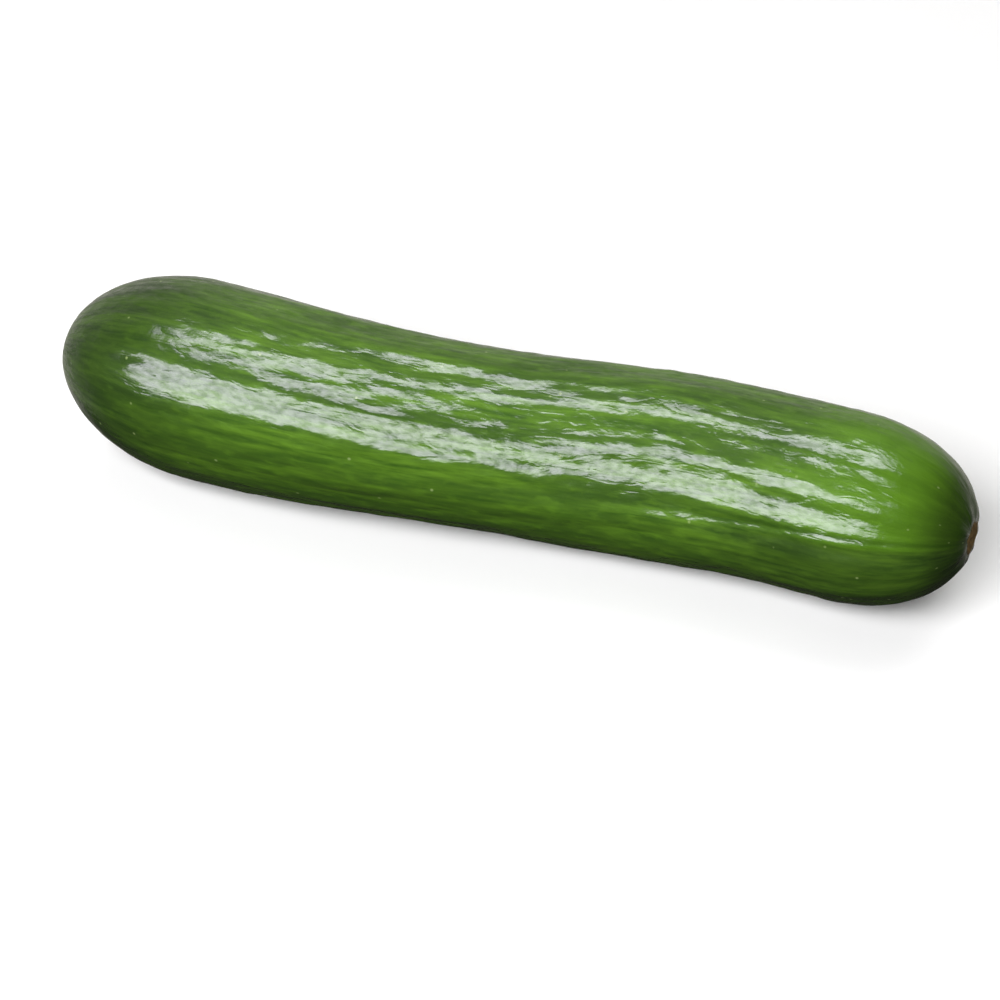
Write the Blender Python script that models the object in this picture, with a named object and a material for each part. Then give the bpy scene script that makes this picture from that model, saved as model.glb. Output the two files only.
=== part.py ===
"""A mini cucumber lying on its side: one solid fruit with soft lengthwise ribs, a cut stem and a blossom scar.

Metres, +Z up. +X runs along the fruit to the blossom end, and the origin is on the surface that it lies on, under
the middle of its box. Angles round the fruit start level, at its +Y side, and turn upwards.
"""

import math

import bmesh
import bpy
from mathutils import Vector, noise

# The angle round the fruit that points straight down
DOWN = math.radians(-90)

# Length over both ends, and the radius where the body is fullest, slimmest and full again
LENGTH = 0.165
FULL_RADIUS = 0.0177
WAIST_RADIUS = 0.0157
SWELL_RADIUS = 0.0162

# Where along X those three are
FULL_X = -0.060
WAIST_X = 0.007
SWELL_X = 0.038

# How far the two rounded ends reach along X. A power of 1 rounds an end as an ellipse, and less makes it blunter
STEM_CAP = 0.0270
STEM_CAP_POWER = 1.0
BLOSSOM_CAP = 0.0228
BLOSSOM_CAP_POWER = 0.87

# The lazy S of the body, seen from above, the lift of its underside towards the blossom end, and the flat that it
# rests on
SWAY = 0.0027
SWAY_PERIOD = 0.134
BELLY_LIFT = 0.0010
FLAT_DEPTH = 0.00025

# The section is three-sided with well rounded corners. It twists along the fruit between these two places, and
# its sides are flatter at the blossom end
LOBES = 3
STEM_LOBE_HEIGHT = 0.0004
BLOSSOM_LOBE_HEIGHT = 0.0007
STEM_FLAT_SIDE = math.radians(-150)
BLOSSOM_FLAT_SIDE = math.radians(-98)
TWIST_X = (-0.055, 0.035)

# Soft ribs that wander sideways and come and go along the fruit
RIBS = 16
RIB_HEIGHT = 0.00014
RIB_WANDER = 1.5
RIB_WANDER_ARC = 1.0
RIB_WANDER_LENGTH = 0.055
RIB_STRENGTH = 0.65
RIB_PATCHINESS = 0.7
RIB_PATCH_ARC = 2.0
RIB_PATCH_LENGTH = 0.030

# Slow lumps
LUMP_HEIGHT = 0.00045
LUMP_ARC = 1.3
LUMP_LENGTH = 0.034

# The ribs are calmer at the stem end, and reach their full height between these two places
STEM_CALM = 0.35
STEM_CALM_X = (-0.068, -0.040)

# The relief dies out on the belly between these two angles from straight down
BELLY_FLAT_ANGLE = math.radians(13)
BELLY_HALF_ANGLE = math.radians(32)

# The cut stem, which stands in a dimple
DIMPLE_DEPTH = 0.0021
DIMPLE_RADIUS = 0.0074
DIMPLE_FLOOR_RADIUS = 0.0018
STEM_HEIGHT = 0.0017
STEM_RADIUS = 0.0029
STEM_TOP_RADIUS = 0.0024

# The scar of the flower, and the puckers that run into it
SCAR_DEPTH = 0.0003
SCAR_RADIUS = 0.0027
SCAR_FLOOR_RADIUS = 0.0011
SCAR_RIM_RADIUS = 0.0049
PUCKERS = 9
PUCKER_HEIGHT = 0.00012
PUCKER_PEAK_RADIUS = 0.0048
PUCKER_RADIUS = 0.0095

# Points round the fruit, rings near each tip by their radius, then even rings to the end of each cap and the body
SEGMENTS = 90
TIP_RINGS = (0.0012, 0.0023, 0.0029, 0.0040, 0.0056, 0.0076)
CAP_STEPS = 8
BODY_STEPS = 32

# Colours of the skin, the dry cut stem and the corky scar
SKIN_COLOUR = (0.055, 0.170, 0.016, 1.0)
STEM_COLOUR = (0.300, 0.330, 0.130, 1.0)
SCAR_COLOUR = (0.260, 0.150, 0.060, 1.0)
SKIN_ROUGHNESS = 0.28
DRY_ROUGHNESS = 0.80


def clear_scene():
    for thing in list(bpy.data.objects):
        bpy.data.objects.remove(thing)


def smooth_step(low, high, value):
    """0 below low, 1 above high, and an even S between them."""
    share = min(1.0, max(0.0, (value - low) / (high - low)))
    return share * share * (3.0 - 2.0 * share)


def body_radius(x):
    """Radius of the body before its ends round off: fullest by the stem, slimmest past the middle."""
    to_waist = (WAIST_RADIUS - FULL_RADIUS) * smooth_step(FULL_X, WAIST_X, x)
    to_swell = (SWELL_RADIUS - WAIST_RADIUS) * smooth_step(WAIST_X, SWELL_X, x)
    return FULL_RADIUS + to_waist + to_swell


def section_radius(x, angle):
    """Radius of the three-sided section at x, before its relief."""
    share = smooth_step(*TWIST_X, x)
    flat_side = STEM_FLAT_SIDE + share * (BLOSSOM_FLAT_SIDE - STEM_FLAT_SIDE)
    height = STEM_LOBE_HEIGHT + share * (BLOSSOM_LOBE_HEIGHT - STEM_LOBE_HEIGHT)
    return body_radius(x) - height * math.cos(LOBES * (angle - flat_side))


def spine(x):
    """Middle of the cross-section at x, and the level direction across the body there."""
    turn = 2.0 * math.pi / SWAY_PERIOD
    lift = BELLY_LIFT * (2.0 * max(0.0, x) / LENGTH) ** 2
    middle = Vector((x, SWAY * math.sin(turn * x), section_radius(x, DOWN) + lift - FLAT_DEPTH))
    across = Vector((-SWAY * turn * math.cos(turn * x), 1.0, 0.0)).normalized()
    return middle, across


def skin_noise(x, angle, arc, length):
    """Smooth noise that closes on itself round the fruit, finer round it for a larger arc."""
    return noise.noise(Vector((arc * math.cos(angle), arc * math.sin(angle), x / length)))


def relief(x, angle):
    """Height of ribs and lumps over the plain section. It dies out on the belly, which lies flat."""
    wander = RIB_WANDER * skin_noise(x, angle, RIB_WANDER_ARC, RIB_WANDER_LENGTH)
    strength = RIB_STRENGTH + RIB_PATCHINESS * skin_noise(x, angle, RIB_PATCH_ARC, RIB_PATCH_LENGTH)
    strength *= STEM_CALM + (1.0 - STEM_CALM) * smooth_step(*STEM_CALM_X, x)
    rib = RIB_HEIGHT * strength * math.cos(RIBS * angle + wander)
    lump = LUMP_HEIGHT * skin_noise(x, angle, LUMP_ARC, LUMP_LENGTH)
    from_belly = abs(math.remainder(angle - DOWN, 2.0 * math.pi))
    return (rib + lump) * smooth_step(BELLY_FLAT_ANGLE, BELLY_HALF_ANGLE, from_belly)


def stem_dent(radius):
    """How far the skin is pressed in at the stem end, with the cut stem standing in the dimple."""
    dimple = DIMPLE_DEPTH * (1.0 - smooth_step(DIMPLE_FLOOR_RADIUS, DIMPLE_RADIUS, radius))
    stem = STEM_HEIGHT * (1.0 - smooth_step(STEM_TOP_RADIUS, STEM_RADIUS, radius))
    return dimple - stem


def blossom_dent(radius, angle):
    """How far the skin is pressed in at the blossom end: the scar, and puckers that run out of it."""
    scar = SCAR_DEPTH * (1.0 - smooth_step(SCAR_FLOOR_RADIUS, SCAR_RIM_RADIUS, radius))
    rise = smooth_step(SCAR_RADIUS, PUCKER_PEAK_RADIUS, radius)
    fall = 1.0 - smooth_step(PUCKER_PEAK_RADIUS, PUCKER_RADIUS, radius)
    return scar + PUCKER_HEIGHT * rise * fall * math.cos(PUCKERS * angle)


def skin_point(x, share, angle):
    """A point of the skin. share is the part of the full radius there: 0 at a tip, and 1 along the body.

    The relief fades towards both tips.
    """
    middle, across = spine(x)
    along = Vector((across.y, -across.x, 0.0))
    outward = math.cos(angle) * across + math.sin(angle) * Vector((0.0, 0.0, 1.0))
    radius = share * (section_radius(x, angle) + share * relief(x, angle))
    dent = stem_dent(radius) if x < 0.0 else -blossom_dent(radius, angle)
    point = middle + radius * outward + dent * along
    point.z = max(0.0, point.z)
    return point


def cap_rings(reach, radius, power):
    """(how far past the body, share of the full radius) of a cap's rings, from the one nearest the tip."""
    slopes = [math.asin((ring / radius) ** (1.0 / power)) for ring in TIP_RINGS]
    step = (math.pi / 2.0 - slopes[-1]) / CAP_STEPS
    slopes += [slopes[-1] + step * i for i in range(1, CAP_STEPS)]
    return [(reach * math.cos(slope), math.sin(slope) ** power) for slope in slopes]


def ring_places():
    """(x, share of the full radius) of each ring, from the stem end to the blossom end."""
    body_start = STEM_CAP - LENGTH / 2.0
    body_end = LENGTH / 2.0 - BLOSSOM_CAP
    stem = [(body_start - past, share) for past, share in cap_rings(STEM_CAP, FULL_RADIUS, STEM_CAP_POWER)]
    blossom = [(body_end + past, share) for past, share in cap_rings(BLOSSOM_CAP, SWELL_RADIUS, BLOSSOM_CAP_POWER)]
    step = (body_end - body_start) / BODY_STEPS
    body = [(body_start + step * i, 1.0) for i in range(BODY_STEPS + 1)]
    return stem + body + blossom[::-1]


def plain_material(name, colour, roughness):
    material = bpy.data.materials.new(name)
    material.use_nodes = True
    shader = material.node_tree.nodes["Principled BSDF"]
    shader.inputs["Base Color"].default_value = colour
    shader.inputs["Roughness"].default_value = roughness
    shader.inputs["Metallic"].default_value = 0.0
    return material


def skin_faces(bm):
    """Rings of points joined by bands of faces, with a fan over each tip."""
    turn = 2.0 * math.pi / SEGMENTS
    rings = []
    for x, share in ring_places():
        rings.append([bm.verts.new(skin_point(x, share, turn * k)) for k in range(SEGMENTS)])
    for near, far in zip(rings, rings[1:]):
        for k in range(SEGMENTS):
            following = (k + 1) % SEGMENTS
            bm.faces.new((near[k], far[k], far[following], near[following]))
    stem_tip = bm.verts.new(skin_point(-LENGTH / 2.0, 0.0, 0.0))
    blossom_tip = bm.verts.new(skin_point(LENGTH / 2.0, 0.0, 0.0))
    for k in range(SEGMENTS):
        following = (k + 1) % SEGMENTS
        bm.faces.new((stem_tip, rings[0][k], rings[0][following]))
        bm.faces.new((blossom_tip, rings[-1][following], rings[-1][k]))
    bmesh.ops.recalc_face_normals(bm, faces=bm.faces)


def mark_dry_faces(mesh):
    """Gives the cut stem and the scar their own materials."""
    for face in mesh.polygons:
        middle = spine(face.center.x)[0]
        off_axis = (face.center - middle).length
        near_stem = face.center.x < STEM_CAP - LENGTH / 2.0
        near_blossom = face.center.x > LENGTH / 2.0 - BLOSSOM_CAP
        if near_stem and off_axis < STEM_RADIUS:
            face.material_index = 1
        elif near_blossom and off_axis < SCAR_RADIUS:
            face.material_index = 2


def stand_on_origin(mesh):
    """Moves the mesh level, so that the origin is under the middle of its box."""
    for axis in range(2):
        places = [vertex.co[axis] for vertex in mesh.vertices]
        shift = (min(places) + max(places)) / 2.0
        for vertex in mesh.vertices:
            vertex.co[axis] -= shift


def build_cucumber():
    bm = bmesh.new()
    skin_faces(bm)
    mesh = bpy.data.meshes.new("cucumber")
    bm.to_mesh(mesh)
    bm.free()
    mesh.materials.append(plain_material("skin", SKIN_COLOUR, SKIN_ROUGHNESS))
    mesh.materials.append(plain_material("cut_stem", STEM_COLOUR, DRY_ROUGHNESS))
    mesh.materials.append(plain_material("blossom_scar", SCAR_COLOUR, DRY_ROUGHNESS))
    mark_dry_faces(mesh)
    stand_on_origin(mesh)
    mesh.shade_smooth()
    cucumber = bpy.data.objects.new("cucumber", mesh)
    bpy.context.scene.collection.objects.link(cucumber)


clear_scene()
build_cucumber()
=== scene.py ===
"""The looks of the mini cucumber: a fine wrinkled skin, its streaked and glossy green, and a plain studio.

Metres, in the part's frame. +X runs along the fruit to the blossom end. Angles round it start level, at its
+Y side, and turn upwards.
"""

import math

import bmesh
import bpy
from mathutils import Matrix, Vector, noise


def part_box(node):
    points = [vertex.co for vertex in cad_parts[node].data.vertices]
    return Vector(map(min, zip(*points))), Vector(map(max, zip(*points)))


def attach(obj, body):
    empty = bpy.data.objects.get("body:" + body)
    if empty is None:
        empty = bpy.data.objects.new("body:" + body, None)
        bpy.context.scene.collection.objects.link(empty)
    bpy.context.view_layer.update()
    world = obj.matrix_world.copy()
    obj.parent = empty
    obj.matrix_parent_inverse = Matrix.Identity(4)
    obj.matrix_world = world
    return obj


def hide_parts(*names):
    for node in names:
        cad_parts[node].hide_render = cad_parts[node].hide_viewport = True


NODE = "cucumber"

# The angles round the fruit that point straight down and up
DOWN = math.radians(-90)
UP = math.radians(90)

# The part's own form: length over both ends, and the radius where it is fullest, slimmest and full again
LENGTH = 0.165
FULL_RADIUS = 0.0177
WAIST_RADIUS = 0.0157
SWELL_RADIUS = 0.0162
FULL_X = -0.060
WAIST_X = 0.007
SWELL_X = 0.038

# Its rounded ends
STEM_CAP = 0.0270
STEM_CAP_POWER = 1.0
BLOSSOM_CAP = 0.0228
BLOSSOM_CAP_POWER = 0.87

# Its lazy S, the lift of its underside towards the blossom end, and the flat that it rests on
SWAY = 0.0027
SWAY_PERIOD = 0.134
BELLY_LIFT = 0.0010
FLAT_DEPTH = 0.00025

# Its three-sided section, which twists along the fruit
LOBES = 3
STEM_LOBE_HEIGHT = 0.0004
BLOSSOM_LOBE_HEIGHT = 0.0007
STEM_FLAT_SIDE = math.radians(-150)
BLOSSOM_FLAT_SIDE = math.radians(-98)
TWIST_X = (-0.055, 0.035)

# Its ribs, which wander sideways, come and go and are calmer by the stem, its slow lumps, and the belly
# that has neither
RIBS = 16
RIB_HEIGHT = 0.00014
RIB_WANDER = 1.5
RIB_WANDER_ARC = 1.0
RIB_WANDER_LENGTH = 0.055
RIB_STRENGTH = 0.65
RIB_PATCHINESS = 0.7
RIB_PATCH_ARC = 2.0
RIB_PATCH_LENGTH = 0.030
LUMP_HEIGHT = 0.00045
LUMP_ARC = 1.3
LUMP_LENGTH = 0.034
STEM_CALM = 0.35
STEM_CALM_X = (-0.068, -0.040)
BELLY_FLAT_ANGLE = math.radians(13)
BELLY_HALF_ANGLE = math.radians(32)

# Its cut stem, which stands in a dimple, and the scar of the flower with its puckers
DIMPLE_DEPTH = 0.0021
DIMPLE_RADIUS = 0.0074
DIMPLE_FLOOR_RADIUS = 0.0018
STEM_HEIGHT = 0.0017
STEM_RADIUS = 0.0029
STEM_TOP_RADIUS = 0.0024
SCAR_DEPTH = 0.0003
SCAR_RADIUS = 0.0027
SCAR_FLOOR_RADIUS = 0.0011
SCAR_RIM_RADIUS = 0.0049
PUCKERS = 9
PUCKER_HEIGHT = 0.00012
PUCKER_PEAK_RADIUS = 0.0048
PUCKER_RADIUS = 0.0095

# The radius that sizes round the fruit are measured at
GRAIN_RADIUS = 0.017

# Fine relief that only the looks have: width round the fruit, length along it, height
RIDGE_GRAIN = (0.0043, 0.0150, 0.00017)
STREAK_GRAIN = (0.0014, 0.0110, 0.00003)
WRINKLE_GRAIN = (0.0018, 0.0050, 0.00008)
DENT_GRAIN = (0.0022, 0.0026, 0.00010)

# A fold along the front that runs up into the scar: its angle where it starts and at the tip, from where
# to where along X it rises, its width and height, and how dark and how thin the painted shade along its
# groove is. The groove is deepest at GROOVE_OFF widths from the fold's middle.
FOLD_ANGLES = (math.radians(175), math.radians(159.5))
FOLD_START = 0.018
FOLD_FULL = 0.060
FOLD_WIDTH = 0.0008
FOLD_HEIGHT = 0.00026
FOLD_SHADE_DARKNESS = 0.75
FOLD_SHADE_SHARPNESS = 2.0
GROOVE_OFF = -math.sqrt(0.5)

# Where the looks of the cut stem and of the scar end, how much the scar's edge wavers and how finely, and
# how thin the dark lines by the scar are
STEM_EDGE_RADIUS = 0.0034
SCAR_EDGE_RADIUS = 0.0033
SCAR_UNEVENNESS = 0.35
SCAR_UNEVEN_ARC = 1.6
LINE_SHARPNESS = 6.0

# The fine mesh, with rings close together near the tips
SEGMENTS = 320
TIP_RADIUS = 0.0052
TIP_RINGS = 30
CAP_RINGS = 44
BODY_RINGS = 152

# The greens of the skin: streaks, broad shade, the two ends, with painted shade on the blossom end's
# underside, and the lines by the scar, which also paint shade along the fold's groove
DARK_GREEN = (0.033, 0.083, 0.0075, 1.0)
LIGHT_GREEN = (0.090, 0.191, 0.0140, 1.0)
SHADE_GREEN = (0.029, 0.067, 0.0085, 1.0)
END_TINT = (0.40, 0.38, 0.65, 1.0)
BLOSSOM_GREEN = (0.084, 0.200, 0.0070, 1.0)
LINE_AND_FOLD_SHADE_GREEN = (0.012, 0.036, 0.0030, 1.0)

# From where to where the ends' shades fade: the dark of the stem end along X from its tip, the bright green
# of the blossom end along X, and its dark tip by the distance from the axis
STEM_SHADE = (0.010, 0.043)
BLOSSOM_GLOW = (0.048, 0.066)
BLOSSOM_SHADE = (0.0088, 0.0146)

# Painted shade on the underside of the blossom end: from where to where it begins below the fold, from the
# top down the far side and along X, and how dark it is
UNDER_FOLD = (0.0, math.radians(6))
FAR_SIDE = (math.radians(70), math.radians(90))
UNDER_SHADE_X = (0.030, 0.060)
UNDER_SHADE = 0.6

# How strong the two ends' shades and the dark lines and fold-groove painted shade are in the skin's colour
GLOW_SHARE = 0.55
STEM_SHADE_SHARE = 0.9
LINE_AND_FOLD_SHADE_SHARE = 0.8

# Noise in the skin's colour and gloss and in the cork: width round the fruit, length along it
STREAK_SIZE = (0.0011, 0.009)
BAND_SIZE = (0.0034, 0.030)
DAPPLE_SIZE = (0.0015, 0.0036)
WAX_SIZE = (0.0008, 0.0017)
CORK_SIZE = (0.0007, 0.0007)

# From which to which noise they show, and the shares that they then give where those aren't 0 and 1
STREAK_RAMP = (0.32, 0.68)
BAND_RAMP = (0.40, 0.66, 0.0, 0.8)
DAPPLE_RAMP = (0.52, 0.74, 0.0, 0.5)
WAX_RAMP = (0.35, 0.60, 0.50, 1.0)

# Heights of the finest relief
FINE_BUMP = 0.00008
CRINKLE_BUMP = 0.00005
CREASE_BUMP = 0.00002
DRY_BUMP = 0.00025

# Its noise: width round the fruit, length along it. Crinkles show in patches, and creases where their noise
# is within a small reach of its middle.
FINE_SIZE = (0.0012, 0.0020)
CRINKLE_SIZE = (0.0034, 0.0012)
CRINKLE_PATCH_SIZE = (0.0100, 0.0160)
CRINKLE_PATCH_RAMP = (0.45, 0.60)
CREASE_SIZE = (0.0040, 0.0140)
CREASE_MIDDLE = 0.5
CREASE_RAMP = (0.0, 0.05)

# The gloss of the waxy skin, and the roughness of the skin and of the dry cork
SKIN_SPECULAR = 0.05
COAT_ROUGHNESS = 0.15
COAT_IOR = 1.56
SKIN_ROUGHNESS = 0.45
DRY_ROUGHNESS = 0.85

# Specks: their spacing, from where to where they fade, in shares of it, and from which strength to which
SPECK_SPACING = 0.005
SPECK_RAMP = (0.02, 0.07, 0.6, 0.0)
SPECK_COLOUR = (0.300, 0.380, 0.150, 1.0)

# The lightest and darkest of the cut stem and of the scar
STEM_LIGHT = (0.300, 0.330, 0.130, 1.0)
STEM_DARK = (0.130, 0.160, 0.050, 1.0)
SCAR_LIGHT = (0.440, 0.290, 0.130, 1.0)
SCAR_DARK = (0.210, 0.135, 0.055, 1.0)

# The photograph's view
AZIMUTH = math.radians(17.9)
ELEVATION = math.radians(38.0)
DISTANCE = 0.5845
AIM = Vector((-0.0011, 0.0, 0.0036))
LENS = 120.0
CLIP_START = 0.01

# The soft boxes light this spot above the middle of the fruit
LIT_SPOT = Vector((0.0, 0.0, 0.018))

# Boxes that light the fruit and don't show in its gloss: azimuth, elevation, distance, width, height,
# radiance
KEY_BOX = (math.radians(-12), math.radians(43), 0.75, 0.78, 0.36, 10.5)
BACK_BOX = (math.radians(180), math.radians(48), 1.60, 1.60, 1.60, 1.9)
FILL_BOX = (math.radians(-35), math.radians(8), 1.20, 1.60, 0.80, 1.4)

# Long boxes that show in its gloss alone: angle round the fruit, middle along X, width, height
FRONT_GLOSS = (math.radians(143), -0.38, 1.00, 0.40)
OVER_GLOSS = (math.radians(88), -0.10, 0.52, 0.26)

# How far off they are, their colour, and their soft edge: each step is farther by this share of the
# distance, and has more width, more height and its own radiance
GLOSS_DISTANCE = 0.75
GLOSS_STEP_BACK = 0.02
GLOSS_COLOUR = (1.0, 0.93, 1.12)
GLOSS_STEPS = ((0.0, 0.0, 3.75), (0.16, 0.05, 3.0), (0.32, 0.10, 2.3))

# The world's light: dim, and brighter towards a place behind the fruit, but not from steeply below
BACKDROP_ELEVATION = math.radians(-15)
BACKDROP_EDGE = -0.10
BELOW_BACKDROP = (-0.74, -0.60)
DIM_WORLD = 0.035
BRIGHT_WORLD = 0.50
WORLD_COLOUR = (1.0, 0.98, 0.88, 1.0)

# The floor
FLOOR_HALF = 3.0
FLOOR_COLOUR = (0.90, 0.90, 0.90, 1.0)
FLOOR_ROUGHNESS = 0.8

# The sockets that a mix node has for colours
MIX_SHARE = 0
MIX_FIRST = 6
MIX_SECOND = 7
MIX_RESULT = 2


def smooth_step(low, high, value):
    """0 below low, 1 above high, and an even S between them."""
    share = min(1.0, max(0.0, (value - low) / (high - low)))
    return share * share * (3.0 - 2.0 * share)


def body_radius(x):
    to_waist = (WAIST_RADIUS - FULL_RADIUS) * smooth_step(FULL_X, WAIST_X, x)
    to_swell = (SWELL_RADIUS - WAIST_RADIUS) * smooth_step(WAIST_X, SWELL_X, x)
    return FULL_RADIUS + to_waist + to_swell


def section_radius(x, angle):
    share = smooth_step(*TWIST_X, x)
    flat_side = STEM_FLAT_SIDE + share * (BLOSSOM_FLAT_SIDE - STEM_FLAT_SIDE)
    height = STEM_LOBE_HEIGHT + share * (BLOSSOM_LOBE_HEIGHT - STEM_LOBE_HEIGHT)
    return body_radius(x) - height * math.cos(LOBES * (angle - flat_side))


def spine(x):
    """Middle of the cross-section at x, and the level direction across the body there."""
    turn = 2.0 * math.pi / SWAY_PERIOD
    lift = BELLY_LIFT * (2.0 * max(0.0, x) / LENGTH) ** 2
    middle = Vector((x, SWAY * math.sin(turn * x), section_radius(x, DOWN) + lift - FLAT_DEPTH))
    across = Vector((-SWAY * turn * math.cos(turn * x), 1.0, 0.0)).normalized()
    return middle, across


def skin_noise(x, angle, arc, length):
    """Smooth noise that closes on itself round the fruit, finer round it for a larger arc."""
    return noise.noise(Vector((arc * math.cos(angle), arc * math.sin(angle), x / length)))


def off_belly(angle):
    """0 on the flat belly and 1 away from it."""
    from_belly = abs(math.remainder(angle - DOWN, 2.0 * math.pi))
    return smooth_step(BELLY_FLAT_ANGLE, BELLY_HALF_ANGLE, from_belly)


def relief(x, angle):
    """Height of ribs and lumps over the plain section, as the part has them."""
    wander = RIB_WANDER * skin_noise(x, angle, RIB_WANDER_ARC, RIB_WANDER_LENGTH)
    strength = RIB_STRENGTH + RIB_PATCHINESS * skin_noise(x, angle, RIB_PATCH_ARC, RIB_PATCH_LENGTH)
    strength *= STEM_CALM + (1.0 - STEM_CALM) * smooth_step(*STEM_CALM_X, x)
    rib = RIB_HEIGHT * strength * math.cos(RIBS * angle + wander)
    lump = LUMP_HEIGHT * skin_noise(x, angle, LUMP_ARC, LUMP_LENGTH)
    return (rib + lump) * off_belly(angle)


def grain(x, angle, size):
    """Noise with features of one width round the fruit and another length along it."""
    width, length, height = size
    return height * skin_noise(x, angle, GRAIN_RADIUS / width, length)


def fine_relief(x, angle):
    grains = (RIDGE_GRAIN, STREAK_GRAIN, WRINKLE_GRAIN, DENT_GRAIN)
    height = sum(grain(x, angle, size) for size in grains)
    return height * off_belly(angle) + fold(x, angle)


def fold_angle(x):
    share = min(1.0, max(0.0, (x - FOLD_START) / (LENGTH / 2.0 - FOLD_START)))
    return FOLD_ANGLES[0] + share * (FOLD_ANGLES[1] - FOLD_ANGLES[0])


def below_fold(x, angle):
    """How far a point is below the middle of the fold, in widths of the fold."""
    return math.remainder(angle - fold_angle(x), 2.0 * math.pi) * body_radius(x) / FOLD_WIDTH


def fold(x, angle):
    """A groove with a ridge below it."""
    off = below_fold(x, angle)
    return FOLD_HEIGHT * smooth_step(FOLD_START, FOLD_FULL, x) * off * math.exp(-off * off)


def fold_groove_shade(x, angle):
    """Painted shade along the groove of the fold, from 0 to 1."""
    off = below_fold(x, angle) - GROOVE_OFF
    return FOLD_SHADE_DARKNESS * smooth_step(FOLD_START, FOLD_FULL, x) * math.exp(-FOLD_SHADE_SHARPNESS * off * off)


def stem_dent(radius):
    dimple = DIMPLE_DEPTH * (1.0 - smooth_step(DIMPLE_FLOOR_RADIUS, DIMPLE_RADIUS, radius))
    stem = STEM_HEIGHT * (1.0 - smooth_step(STEM_TOP_RADIUS, STEM_RADIUS, radius))
    return dimple - stem


def blossom_dent(radius, angle):
    scar = SCAR_DEPTH * (1.0 - smooth_step(SCAR_FLOOR_RADIUS, SCAR_RIM_RADIUS, radius))
    rise = smooth_step(SCAR_RADIUS, PUCKER_PEAK_RADIUS, radius)
    fall = 1.0 - smooth_step(PUCKER_PEAK_RADIUS, PUCKER_RADIUS, radius)
    return scar + PUCKER_HEIGHT * rise * fall * math.cos(PUCKERS * angle)


def skin_point(x, share, angle):
    """A point of the skin. share is the part of the full radius there: 0 at a tip, and 1 along the body.

    The relief fades towards both tips.
    """
    middle, across = spine(x)
    along = Vector((across.y, -across.x, 0.0))
    outward = math.cos(angle) * across + math.sin(angle) * Vector((0.0, 0.0, 1.0))
    height = relief(x, angle) + fine_relief(x, angle)
    radius = share * (section_radius(x, angle) + share * height)
    dent = stem_dent(radius) if x < 0.0 else -blossom_dent(radius, angle)
    point = middle + radius * outward + dent * along
    point.z = max(0.0, point.z)
    return point


def end_marks(x, share, angle):
    """How far a point is cut stem, scar, and scar line or painted fold-groove shade, each from 0 to 1."""
    radius = share * section_radius(x, angle)
    if x < 0.0:
        return (1.0 - smooth_step(STEM_RADIUS, STEM_EDGE_RADIUS, radius), 0.0, 0.0)
    uneven = radius * (1.0 + SCAR_UNEVENNESS * skin_noise(LENGTH, angle, SCAR_UNEVEN_ARC, LENGTH))
    scar = 1.0 - smooth_step(SCAR_RADIUS, SCAR_EDGE_RADIUS, uneven)
    line = 0.5 - 0.5 * math.cos(PUCKERS * angle)
    reach = 1.0 - smooth_step(SCAR_RADIUS, PUCKER_RADIUS, radius)
    # The third share is the dark lines by the scar together with the painted shade along the fold's groove
    return (0.0, scar, max(reach * line ** LINE_SHARPNESS, fold_groove_shade(x, angle)))


def end_shades(x, share, angle):
    """How far a point has the stem end's dark, the blossom end's bright green, and its dark tip and painted
    underside shade.
    """
    if x < 0.0:
        return (1.0 - smooth_step(*STEM_SHADE, x + LENGTH / 2.0), 0.0, 0.0)
    # Painted shade: below the fold and down the far side, the blossom end's underside is darkened in its
    # colour and gets none of the bright green
    from_top = math.remainder(angle - UP, 2.0 * math.pi)
    under_near = smooth_step(*UNDER_FOLD, from_top - (fold_angle(x) - UP))
    under = max(under_near, smooth_step(*FAR_SIDE, -from_top))
    glow = smooth_step(*BLOSSOM_GLOW, x) * (1.0 - under)
    dark = 1.0 - smooth_step(*BLOSSOM_SHADE, share * body_radius(x))
    return (0.0, glow, max(dark, UNDER_SHADE * smooth_step(*UNDER_SHADE_X, x) * under))


def cap_rings(reach, radius, power):
    """(how far past the body, share of the full radius) of a cap's rings, from the one nearest the tip."""
    tip = [TIP_RADIUS / radius * i / TIP_RINGS for i in range(1, TIP_RINGS + 1)]
    slopes = [math.asin(share ** (1.0 / power)) for share in tip]
    step = (math.pi / 2.0 - slopes[-1]) / CAP_RINGS
    slopes += [slopes[-1] + step * i for i in range(1, CAP_RINGS)]
    return [(reach * math.cos(slope), math.sin(slope) ** power) for slope in slopes]


def ring_places():
    """(x, share of the full radius) of each ring, from the stem end to the blossom end."""
    body_start = STEM_CAP - LENGTH / 2.0
    body_end = LENGTH / 2.0 - BLOSSOM_CAP
    stem_rings = cap_rings(STEM_CAP, FULL_RADIUS, STEM_CAP_POWER)
    stem = [(body_start - past, share) for past, share in stem_rings]
    blossom_rings = cap_rings(BLOSSOM_CAP, SWELL_RADIUS, BLOSSOM_CAP_POWER)
    blossom = [(body_end + past, share) for past, share in blossom_rings]
    step = (body_end - body_start) / BODY_RINGS
    body = [(body_start + step * i, 1.0) for i in range(BODY_RINGS + 1)]
    return stem + body + blossom[::-1]


def arc_lengths(places):
    """Distance over the skin from the stem tip to each ring, and to the blossom tip."""
    stops = [(-LENGTH / 2.0, 0.0)] + places + [(LENGTH / 2.0, 0.0)]
    gone = [0.0]
    for (x0, share0), (x1, share1) in zip(stops, stops[1:]):
        rise = share1 * body_radius(x1) - share0 * body_radius(x0)
        gone.append(gone[-1] + math.hypot(x1 - x0, rise))
    return gone[1:-1], gone[-1]


def lay_out(face, uv, places):
    """Gives each corner of a face its place on the bake map."""
    for loop, place in zip(face.loops, places):
        loop[uv].uv = place


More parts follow.
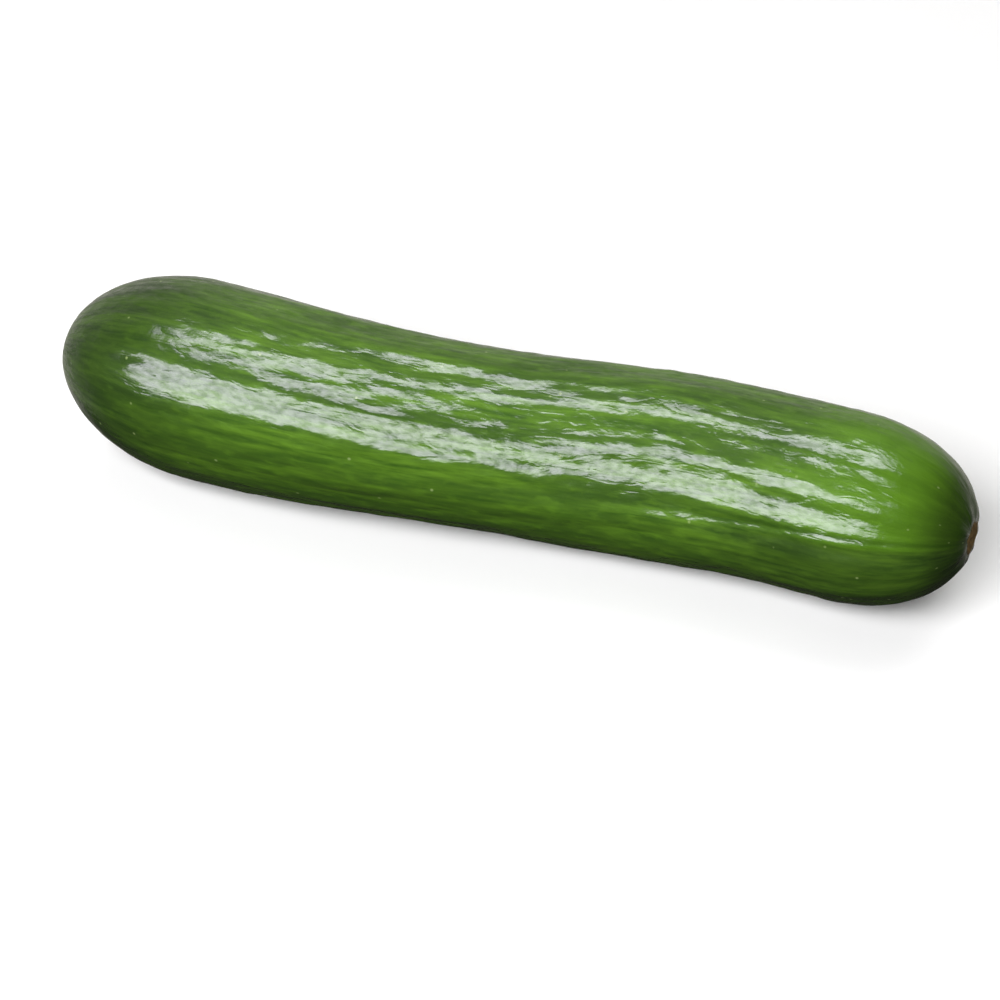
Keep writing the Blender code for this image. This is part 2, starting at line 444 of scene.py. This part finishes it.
def skin_mesh():
    """The fine skin, with a bake map and with each point's place on the unrolled skin."""
    places = ring_places()
    gone, total = arc_lengths(places)
    turn = 2.0 * math.pi / SEGMENTS
    bm = bmesh.new()
    spots = bm.verts.layers.float_vector.new("skin_place")
    ends = bm.verts.layers.float_vector.new("end_marks")
    shades = bm.verts.layers.float_vector.new("end_shades")
    uv = bm.loops.layers.uv.new("OFBake")
    rings = []
    for (x, share), reached in zip(places, gone):
        ring = []
        for k in range(SEGMENTS):
            angle = turn * k
            vertex = bm.verts.new(skin_point(x, share, angle))
            vertex[spots] = (GRAIN_RADIUS * math.cos(angle), GRAIN_RADIUS * math.sin(angle), reached)
            vertex[ends] = end_marks(x, share, angle)
            vertex[shades] = end_shades(x, share, angle)
            ring.append(vertex)
        rings.append(ring)
    stem_tip = bm.verts.new(skin_point(-LENGTH / 2.0, 0.0, 0.0))
    stem_tip[spots] = (0.0, 0.0, 0.0)
    stem_tip[ends] = (1.0, 0.0, 0.0)
    stem_tip[shades] = (1.0, 0.0, 0.0)
    blossom_tip = bm.verts.new(skin_point(LENGTH / 2.0, 0.0, 0.0))
    blossom_tip[spots] = (0.0, 0.0, total)
    blossom_tip[ends] = (0.0, 1.0, 0.0)
    blossom_tip[shades] = (0.0, 1.0, 1.0)
    for j in range(len(rings) - 1):
        near, far = rings[j], rings[j + 1]
        low, high = gone[j] / total, gone[j + 1] / total
        for k in range(SEGMENTS):
            following = (k + 1) % SEGMENTS
            face = bm.faces.new((near[k], near[following], far[following], far[k]))
            left, right = k / SEGMENTS, (k + 1) / SEGMENTS
            lay_out(face, uv, ((left, low), (right, low), (right, high), (left, high)))
    low, high = gone[0] / total, gone[-1] / total
    for k in range(SEGMENTS):
        following = (k + 1) % SEGMENTS
        left, middle, right = k / SEGMENTS, (k + 0.5) / SEGMENTS, (k + 1) / SEGMENTS
        face = bm.faces.new((stem_tip, rings[0][following], rings[0][k]))
        lay_out(face, uv, ((middle, 0.0), (right, low), (left, low)))
        face = bm.faces.new((blossom_tip, rings[-1][k], rings[-1][following]))
        lay_out(face, uv, ((middle, 1.0), (left, high), (right, high)))
    bmesh.ops.recalc_face_normals(bm, faces=bm.faces)
    mesh = bpy.data.meshes.new("cucumber_skin")
    bm.to_mesh(mesh)
    bm.free()
    mesh.shade_smooth()
    return mesh


def centre_on(mesh, low, high):
    """Moves the mesh level, so that its box has the same middle as the part's."""
    for axis in range(2):
        places = [vertex.co[axis] for vertex in mesh.vertices]
        shift = (min(places) + max(places)) / 2.0 - (low[axis] + high[axis]) / 2.0
        for vertex in mesh.vertices:
            vertex.co[axis] -= shift


class Shader:
    """A material's nodes, with short ways to add and join them."""

    def __init__(self, name):
        self.material = bpy.data.materials.new(name)
        self.material.use_nodes = True
        self.tree = self.material.node_tree
        self.principled = self.tree.nodes["Principled BSDF"]

    def add(self, kind, inputs=None, **settings):
        node = self.tree.nodes.new(kind)
        for name, value in settings.items():
            setattr(node, name, value)
        for name, value in (inputs or {}).items():
            self.give(node.inputs[name], value)
        return node

    def give(self, socket, value):
        """Sets a socket, or joins it where the value is another socket."""
        if isinstance(value, bpy.types.NodeSocket):
            self.tree.links.new(value, socket)
        else:
            socket.default_value = value

    def noise(self, place, size, detail=2.0, roughness=0.5, distortion=0.0):
        """Noise whose features have a width across X and a length along it."""
        width, length = size
        scale = (1.0 / width, 1.0 / width, 1.0 / length)
        stretched = self.add("ShaderNodeMapping", {"Vector": place, "Scale": scale}).outputs["Vector"]
        inputs = {"Vector": stretched, "Scale": 1.0, "Detail": detail, "Roughness": roughness}
        inputs["Distortion"] = distortion
        return self.add("ShaderNodeTexNoise", inputs).outputs["Fac"]

    def ramp(self, value, low, high, to_low=0.0, to_high=1.0):
        inputs = {"Value": value, "From Min": low, "From Max": high, "To Min": to_low, "To Max": to_high}
        return self.add("ShaderNodeMapRange", inputs).outputs["Result"]

    def mix(self, share, first, second, blend="MIX"):
        node = self.add("ShaderNodeMix", data_type="RGBA", blend_type=blend)
        self.give(node.inputs[MIX_SHARE], share)
        self.give(node.inputs[MIX_FIRST], first)
        self.give(node.inputs[MIX_SECOND], second)
        return node.outputs[MIX_RESULT]

    def maths(self, operation, first, second=0.0):
        node = self.add("ShaderNodeMath", operation=operation)
        self.give(node.inputs[0], first)
        self.give(node.inputs[1], second)
        return node.outputs[0]

    def bump(self, height, distance, normal=None):
        node = self.add("ShaderNodeBump", {"Height": height, "Distance": distance, "Strength": 1.0})
        if normal is not None:
            self.give(node.inputs["Normal"], normal)
        return node.outputs["Normal"]


def skin_material():
    """Waxy green skin: streaks along the fruit in lighter and darker green, mottling and pale specks."""
    shader = Shader("cucumber_skin")
    place = shader.add("ShaderNodeAttribute", attribute_name="skin_place").outputs["Vector"]
    marks = shader.add("ShaderNodeAttribute", attribute_name="end_marks").outputs["Vector"]
    shades = shader.add("ShaderNodeAttribute", attribute_name="end_shades").outputs["Vector"]
    stem, scar, line = shader.add("ShaderNodeSeparateXYZ", {"Vector": marks}).outputs
    stem_shade, glow, tip_dark_and_under_shade = shader.add("ShaderNodeSeparateXYZ", {"Vector": shades}).outputs

    streaks = shader.noise(place, STREAK_SIZE, detail=4.0, roughness=0.6, distortion=0.3)
    bands = shader.noise(place, BAND_SIZE, distortion=0.2)
    dapples = shader.noise(place, DAPPLE_SIZE, detail=3.0)
    colour = shader.mix(shader.ramp(streaks, *STREAK_RAMP), DARK_GREEN, LIGHT_GREEN)
    colour = shader.mix(shader.ramp(bands, *BAND_RAMP), colour, SHADE_GREEN)
    colour = shader.mix(shader.ramp(dapples, *DAPPLE_RAMP), colour, LIGHT_GREEN)
    colour = shader.mix(shader.maths("MULTIPLY", glow, GLOW_SHARE), colour, BLOSSOM_GREEN)
    stem_share = shader.maths("MULTIPLY", stem_shade, STEM_SHADE_SHARE)
    colour = shader.mix(stem_share, colour, END_TINT, "MULTIPLY")
    # The blossom end's dark tip, and the painted shade on its underside
    colour = shader.mix(tip_dark_and_under_shade, colour, END_TINT, "MULTIPLY")
    # The dark lines by the scar, and the painted shade along the fold's groove
    colour = shader.mix(shader.maths("MULTIPLY", line, LINE_AND_FOLD_SHADE_SHARE), colour, LINE_AND_FOLD_SHADE_GREEN)
    colour = shader.mix(specks(shader, place), colour, SPECK_COLOUR)
    spot = shader.add("ShaderNodeTexCoord").outputs["Object"]
    cork = shader.noise(spot, CORK_SIZE, detail=3.0)
    colour = shader.mix(stem, colour, shader.mix(cork, STEM_LIGHT, STEM_DARK))
    colour = shader.mix(scar, colour, shader.mix(cork, SCAR_LIGHT, SCAR_DARK))
    shader.give(shader.principled.inputs["Base Color"], colour)

    dry = shader.maths("MAXIMUM", stem, scar)
    wax = shader.ramp(shader.noise(place, WAX_SIZE, detail=3.0), *WAX_RAMP)
    coat = shader.maths("MULTIPLY", wax, shader.ramp(dry, 0.0, 1.0, 1.0, 0.0))
    shader.give(shader.principled.inputs["Coat Weight"], coat)
    roughness = shader.ramp(dry, 0.0, 1.0, SKIN_ROUGHNESS, DRY_ROUGHNESS)
    shader.give(shader.principled.inputs["Roughness"], roughness)
    shader.principled.inputs["Specular IOR Level"].default_value = SKIN_SPECULAR
    shader.principled.inputs["Coat Roughness"].default_value = COAT_ROUGHNESS
    shader.principled.inputs["Coat IOR"].default_value = COAT_IOR

    normal = shader.bump(shader.noise(place, FINE_SIZE), FINE_BUMP)
    crinkles = shader.noise(place, CRINKLE_SIZE, distortion=0.3)
    patches = shader.noise(place, CRINKLE_PATCH_SIZE, detail=1.0)
    crinkles = shader.maths("MULTIPLY", crinkles, shader.ramp(patches, *CRINKLE_PATCH_RAMP))
    normal = shader.bump(crinkles, CRINKLE_BUMP, normal)
    creases = shader.noise(place, CREASE_SIZE, detail=3.0, distortion=0.3)
    off_crease = shader.maths("ABSOLUTE", shader.maths("SUBTRACT", creases, CREASE_MIDDLE))
    normal = shader.bump(shader.ramp(off_crease, *CREASE_RAMP), CREASE_BUMP, normal)
    dry_bump = shader.maths("MULTIPLY", cork, dry)
    normal = shader.bump(dry_bump, DRY_BUMP, normal)
    shader.give(shader.principled.inputs["Normal"], normal)
    shader.give(shader.principled.inputs["Coat Normal"], normal)
    return shader.material


def specks(shader, place):
    """The share of sparse round specks in the colour, highest at their middles."""
    cells = shader.add("ShaderNodeTexVoronoi", {"Vector": place, "Scale": 1.0 / SPECK_SPACING})
    return shader.ramp(cells.outputs["Distance"], *SPECK_RAMP)


def build_skin():
    low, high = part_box(NODE)
    mesh = skin_mesh()
    centre_on(mesh, low, high)
    mesh.materials.append(skin_material())
    skin = bpy.data.objects.new("cucumber_skin", mesh)
    bpy.context.scene.collection.objects.link(skin)
    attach(skin, "root")
    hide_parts(NODE)


def from_round_the_fruit(azimuth, elevation):
    """The direction towards a place at that azimuth and elevation. Azimuth 0 is on the -Y side."""
    level = math.cos(elevation)
    return Vector((math.sin(azimuth) * level, -math.cos(azimuth) * level, math.sin(elevation)))


def aimed(thing, place, target):
    thing.location = place
    thing.rotation_euler = (target - place).to_track_quat("-Z", "Y").to_euler()
    bpy.context.scene.collection.objects.link(thing)


def build_camera():
    data = bpy.data.cameras.new("camera")
    data.lens = LENS
    data.clip_start = CLIP_START
    camera = bpy.data.objects.new("camera", data)
    aimed(camera, AIM + DISTANCE * from_round_the_fruit(AZIMUTH, ELEVATION), AIM)
    bpy.context.scene.camera = camera


def add_box(name, shape, place, target, width, height, radiance):
    """A soft box aimed at the target. radiance is how bright its face is."""
    data = bpy.data.lights.new(name, "AREA")
    data.shape = shape
    data.size = width
    data.size_y = height
    area = width * height * (math.pi / 4.0 if shape == "ELLIPSE" else 1.0)
    data.energy = radiance * math.pi * area
    box = bpy.data.objects.new(name, data)
    aimed(box, place, target)
    return box


def soft_box(name, azimuth, elevation, distance, width, height, radiance):
    """A box that lights the fruit and doesn't show in its gloss."""
    place = LIT_SPOT + distance * from_round_the_fruit(azimuth, elevation)
    box = add_box(name, "RECTANGLE", place, LIT_SPOT, width, height, radiance)
    box.visible_glossy = False


def gloss_box(name, angle, x, width, height):
    """A long box beside the fruit, with soft edges, that shows in its gloss alone."""
    target = LIT_SPOT + Vector((x, 0.0, 0.0))
    place = target + GLOSS_DISTANCE * Vector((0.0, math.cos(angle), math.sin(angle)))
    for k, (wider, higher, radiance) in enumerate(GLOSS_STEPS):
        behind = place + GLOSS_STEP_BACK * k * (place - target)
        box = add_box(f"{name}_{k}", "ELLIPSE", behind, target, width + wider, height + higher, radiance)
        box.data.color = GLOSS_COLOUR
        box.visible_diffuse = False


def soft_range(tree, values):
    """A node that maps one range of values softly to another."""
    node = tree.nodes.new("ShaderNodeMapRange")
    node.interpolation_type = "SMOOTHSTEP"
    for name, value in values.items():
        node.inputs[name].default_value = value
    return node


def build_world():
    """Dim all round, and brighter low behind the fruit, as from a pale ground and backdrop."""
    world = bpy.data.worlds.new("world")
    world.use_nodes = True
    tree = world.node_tree
    background = tree.nodes["Background"]
    coordinates = tree.nodes.new("ShaderNodeTexCoord")
    towards = tree.nodes.new("ShaderNodeVectorMath")
    towards.operation = "DOT_PRODUCT"
    towards.inputs[1].default_value = from_round_the_fruit(AZIMUTH + math.pi, BACKDROP_ELEVATION)
    parts = tree.nodes.new("ShaderNodeSeparateXYZ")
    low, high = BELOW_BACKDROP
    brightness = {"From Min": low, "From Max": high, "To Min": DIM_WORLD, "To Max": BRIGHT_WORLD}
    above = soft_range(tree, brightness)
    glow = soft_range(tree, {"From Min": BACKDROP_EDGE, "From Max": 1.0, "To Min": DIM_WORLD})
    tree.links.new(coordinates.outputs["Generated"], towards.inputs[0])
    tree.links.new(coordinates.outputs["Generated"], parts.inputs[0])
    tree.links.new(parts.outputs["Z"], above.inputs["Value"])
    tree.links.new(above.outputs["Result"], glow.inputs["To Max"])
    tree.links.new(towards.outputs["Value"], glow.inputs["Value"])
    tree.links.new(glow.outputs["Result"], background.inputs["Strength"])
    background.inputs["Color"].default_value = WORLD_COLOUR
    bpy.context.scene.world = world


def build_floor():
    """A plain pale floor. It doesn't light the fruit from below."""
    mesh = bpy.data.meshes.new("floor")
    sides = ((-1, -1), (1, -1), (1, 1), (-1, 1))
    corners = [(FLOOR_HALF * along, FLOOR_HALF * across, 0.0) for along, across in sides]
    mesh.from_pydata(corners, [], [(0, 1, 2, 3)])
    shader = Shader("floor")
    shader.principled.inputs["Base Color"].default_value = FLOOR_COLOUR
    shader.principled.inputs["Roughness"].default_value = FLOOR_ROUGHNESS
    mesh.materials.append(shader.material)
    floor = bpy.data.objects.new("floor", mesh)
    bpy.context.scene.collection.objects.link(floor)
    floor.visible_glossy = False
    floor.visible_diffuse = False


def build_studio():
    soft_box("key", *KEY_BOX)
    soft_box("back", *BACK_BOX)
    soft_box("fill", *FILL_BOX)
    gloss_box("front", *FRONT_GLOSS)
    gloss_box("over", *OVER_GLOSS)
    build_world()
    build_floor()
    bpy.context.scene.view_settings.view_transform = "Standard"
    bpy.context.scene.view_settings.look = "None"


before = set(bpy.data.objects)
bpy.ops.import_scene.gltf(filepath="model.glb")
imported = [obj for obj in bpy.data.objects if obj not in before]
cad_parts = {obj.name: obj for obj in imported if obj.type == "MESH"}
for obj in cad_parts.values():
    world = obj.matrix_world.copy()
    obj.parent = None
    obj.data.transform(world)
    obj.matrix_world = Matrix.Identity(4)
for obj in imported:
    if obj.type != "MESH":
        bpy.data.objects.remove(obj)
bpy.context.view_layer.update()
build_skin()
build_camera()
build_studio()
